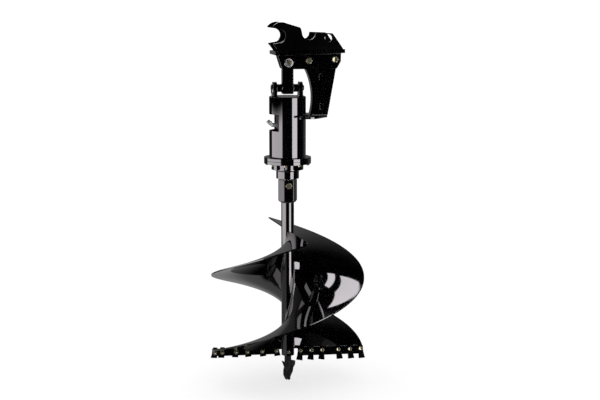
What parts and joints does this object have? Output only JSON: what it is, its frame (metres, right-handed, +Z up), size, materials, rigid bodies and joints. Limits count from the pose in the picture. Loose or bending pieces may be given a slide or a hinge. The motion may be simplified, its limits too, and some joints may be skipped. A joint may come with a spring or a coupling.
{
  "type": "hydraulic earth auger",
  "caption": "Hydraulic earth drill: planetary drive under a motor hood, hung from a cradle hitch, turning a double-start auger with bolt-on teeth and a fishtail pilot.",
  "frame": {"origin": "centre of the hitch's hook, where the machine's front pin sits", "axes": "+Z up along the auger's axis, +X along the hitch away from the hook's mouth, +Y across the two hook ears towards the rear ear"},
  "size_m": [0.9192, 0.914, 2.151],
  "materials": {
    "black_paint": "deep gloss black powder coat over steel plate",
    "zinc_plate": "yellow-passivated zinc on steel fasteners",
    "bright_steel": "bright zinc-plated or machined steel",
    "gear_steel": "ground and oiled gear steel",
    "dark_casting": "dark semi-gloss casting",
    "bronze": "machined bearing bronze",
    "rubber": "matt black rubber"
  },
  "bodies": {
    "root": {"hook_ear_front": "black_paint", "hook_ear_rear": "black_paint", "base_plate": "black_paint", "bracket_plate_front": "black_paint", "bracket_plate_rear": "black_paint", "cradle_side_front": "black_paint", "cradle_side_rear": "black_paint", "cradle_web_front": "black_paint", "cradle_web_back": "black_paint", "saddle_plate": "black_paint", "saddle_pad": "rubber", "swing_pin": "bright_steel", "swing_pin_collar": "bright_steel", "cradle_bolt_upper": "zinc_plate", "cradle_bolt_rear": "zinc_plate"},
    "link": {"swing_link": "black_paint", "swing_bush": "bronze", "cross_bush": "bronze"},
    "drive": {"clevis_ear_left": "black_paint", "clevis_ear_right": "black_paint", "cross_pin": "zinc_plate", "linch_ring": "bright_steel", "motor_hood": "black_paint", "motor_body": "dark_casting", "motor_port_block": "dark_casting", "motor_end_cap": "dark_casting", "port_elbow_pressure": "bright_steel", "port_elbow_return": "bright_steel", "ring_gear": "gear_steel", "gearbox_cover": "dark_casting", "output_housing": "black_paint", "upper_bearing": "gear_steel", "lower_bearing": "gear_steel", "shaft_seal": "rubber"},
    "sun": {"sun_gear_shaft": "gear_steel"},
    "auger": {"planet_carrier_shaft": "gear_steel", "hub_collar": "black_paint", "hub_bolt": "zinc_plate", "auger_tube": "black_paint", "flight_a": "black_paint", "flight_b": "black_paint", "cutter_bar_a": "black_paint", "cutter_bar_b": "black_paint", "tooth_a1": "dark_casting", "tooth_a2": "dark_casting", "tooth_a3": "dark_casting", "tooth_a4": "dark_casting", "tooth_a5": "dark_casting", "tooth_a6": "dark_casting", "tooth_b1": "dark_casting", "tooth_b2": "dark_casting", "tooth_b3": "dark_casting", "tooth_b4": "dark_casting", "tooth_b5": "dark_casting", "tooth_b6": "dark_casting", "pilot_bit": "dark_casting", "pilot_bolt": "zinc_plate"},
    "planet_1": {"planet_gear_1": "gear_steel"},
    "planet_2": {"planet_gear_2": "gear_steel"},
    "planet_3": {"planet_gear_3": "gear_steel"}
  },
  "joints": [
    {"name": "link_swing", "type": "hinge", "parent": "root", "child": "link", "pos_m": [0.066, 0, -0.156], "axis": [0, 1, 0], "range_deg": [-1, 75]},
    {"name": "side_swing", "type": "hinge", "parent": "link", "child": "drive", "pos_m": [0.066, 0, -0.304], "axis": [1, 0, 0], "range_deg": [-8, 8]},
    {"name": "auger_spin", "type": "hinge", "parent": "drive", "child": "auger", "pos_m": [0.066, 0, -0.843], "axis": [0, 0, 1], "continuous": true},
    {"name": "sun_spin", "type": "hinge", "parent": "drive", "child": "sun", "pos_m": [0.066, 0, -0.675], "axis": [0, 0, 1], "continuous": true},
    {"name": "planet_spin_1", "type": "hinge", "parent": "auger", "child": "planet_1", "pos_m": [0.12, 0, -0.675], "axis": [0, 0, 1], "continuous": true},
    {"name": "planet_spin_2", "type": "hinge", "parent": "auger", "child": "planet_2", "pos_m": [0.039, 0.04677, -0.675], "axis": [0, 0, 1], "continuous": true},
    {"name": "planet_spin_3", "type": "hinge", "parent": "auger", "child": "planet_3", "pos_m": [0.039, -0.04677, -0.675], "axis": [0, 0, 1], "continuous": true}
  ],
  "couplings": [
    {"joint": "sun_spin", "follows": "auger_spin", "ratio": 4},
    {"joint": "planet_spin_1", "follows": "auger_spin", "ratio": -3},
    {"joint": "planet_spin_2", "follows": "auger_spin", "ratio": -3},
    {"joint": "planet_spin_3", "follows": "auger_spin", "ratio": -3}
  ]
}
